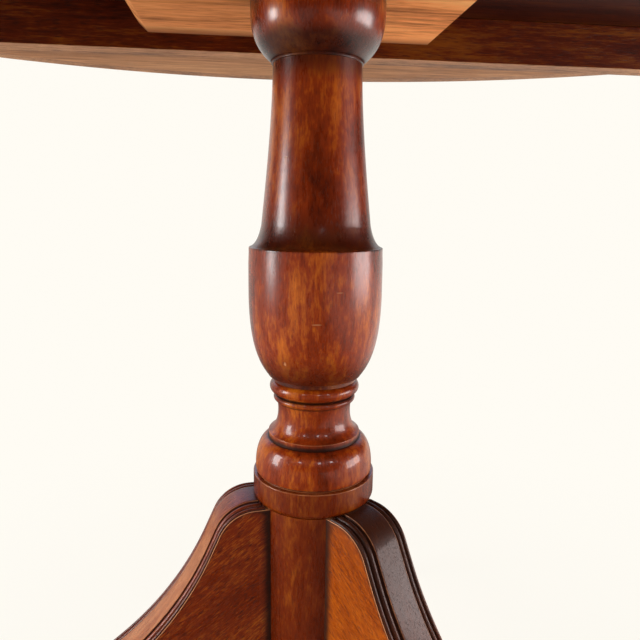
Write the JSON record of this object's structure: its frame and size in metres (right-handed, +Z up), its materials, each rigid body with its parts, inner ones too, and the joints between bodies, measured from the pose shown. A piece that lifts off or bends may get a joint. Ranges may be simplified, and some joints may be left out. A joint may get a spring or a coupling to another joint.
{
  "type": "extending dining table",
  "caption": "Oval mahogany dining table that slides apart from the middle, on one turned column with a tripod of reeded sweeping legs on brass castors.",
  "frame": {"origin": "on the floor under the column's axis, the middle of the closed table's footprint", "axes": "+X along the slides, the way the right half opens; +Z up; +Y across the table, away from the picture's camera"},
  "size_m": [1.4498, 1.08, 0.75],
  "materials": {
    "top": "polished mahogany veneer",
    "lipping": "polished solid mahogany",
    "slides": "dark stained hardwood, satin",
    "bearers": "plain hardwood, sealed",
    "block": "light mahogany, satin",
    "column": "french polished mahogany",
    "legs": "polished mahogany",
    "beech": "bare beech",
    "brass": "lacquered brass",
    "steel": "zinc plated"
  },
  "bodies": {
    "pedestal": {"rail_far": "slides", "rail_near": "slides", "bearer_left": "bearers", "bearer_right": "bearers", "pinion_board": "bearers", "block": "block", "bell": "column", "column": "column", "neck": "column", "collar": "column", "post": "column", "leg_left": "legs", "leg_near": "legs", "leg_far": "legs", "stop_pegs": "beech", "toe_cap_left": "brass", "toe_cap_near": "brass", "toe_cap_far": "brass", "pinion_washer": "steel", "pinion_screw": "steel", "board_screws": "steel", "bearer_screws": "steel", "column_screws": "steel", "tie_rod": "steel", "tie_nuts": "steel", "tie_washers": "steel", "tripod_plate": "steel", "plate_screws": "steel"},
    "right_half": {"top_right": "top", "edge_right": "lipping", "slide_right_far": "slides", "slide_right_near": "slides", "slide_screws_right": "brass", "rack_right": "beech", "rack_screws_right": "steel", "dowels": "beech", "catch_plates": "brass"},
    "left_half": {"top_left": "top", "edge_left": "lipping", "slide_left_far": "slides", "slide_left_near": "slides", "slide_screws_left": "brass", "rack_left": "beech", "rack_screws_left": "steel", "keeper_studs": "brass"},
    "pinion": {"pinion": "beech"},
    "catch_far": {"catch_lever_far": "brass"},
    "catch_near": {"catch_lever_near": "brass"},
    "castor_left": {"castor_fork_left": "brass", "castor_axle_left": "steel"},
    "wheel_left": {"castor_wheel_left": "brass"},
    "castor_near": {"castor_fork_near": "brass", "castor_axle_near": "steel"},
    "wheel_near": {"castor_wheel_near": "brass"},
    "castor_far": {"castor_fork_far": "brass", "castor_axle_far": "steel"},
    "wheel_far": {"castor_wheel_far": "brass"}
  },
  "joints": [
    {"name": "right_half_slide", "type": "slide", "parent": "pedestal", "child": "right_half", "axis": [1, 0, 0], "range_m": [0, 0.225]},
    {"name": "left_half_slide", "type": "slide", "parent": "pedestal", "child": "left_half", "axis": [-1, 0, 0], "range_m": [0, 0.225]},
    {"name": "pinion_turn", "type": "hinge", "parent": "pedestal", "child": "pinion", "pos_m": [0, 0, 0.719], "axis": [0, 0, 1], "range_deg": [0, 430]},
    {"name": "catch_far_turn", "type": "hinge", "parent": "right_half", "child": "catch_far", "pos_m": [0.035, 0.38, 0.7247], "axis": [0, 0, -1], "range_deg": [0, 90]},
    {"name": "catch_near_turn", "type": "hinge", "parent": "right_half", "child": "catch_near", "pos_m": [0.035, -0.38, 0.7247], "axis": [0, 0, 1], "range_deg": [0, 90]},
    {"name": "castor_left_swivel", "type": "hinge", "parent": "pedestal", "child": "castor_left", "pos_m": [-0.34814, -0.04275, 0.0435], "axis": [0, 0, 1], "continuous": true},
    {"name": "wheel_left_spin", "type": "hinge", "parent": "castor_left", "child": "wheel_left", "pos_m": [-0.33623, -0.04128, 0.017], "axis": [0.1219, -0.9925, 0], "continuous": true},
    {"name": "castor_near_swivel", "type": "hinge", "parent": "pedestal", "child": "castor_near", "pos_m": [0.21109, -0.28013, 0.0435], "axis": [0, 0, 1], "continuous": true},
    {"name": "wheel_near_spin", "type": "hinge", "parent": "castor_near", "child": "wheel_near", "pos_m": [0.20387, -0.27054, 0.017], "axis": [0.7986, 0.6018, 0], "continuous": true},
    {"name": "castor_far_swivel", "type": "hinge", "parent": "pedestal", "child": "castor_far", "pos_m": [0.13705, 0.32287, 0.0435], "axis": [0, 0, 1], "continuous": true},
    {"name": "wheel_far_spin", "type": "hinge", "parent": "castor_far", "child": "wheel_far", "pos_m": [0.13236, 0.31183, 0.017], "axis": [-0.9205, 0.3907, 0], "continuous": true}
  ],
  "couplings": [
    {"joint": "left_half_slide", "follows": "right_half_slide", "ratio": 1},
    {"joint": "pinion_turn", "follows": "right_half_slide", "rad_per_m": 33.333}
  ]
}
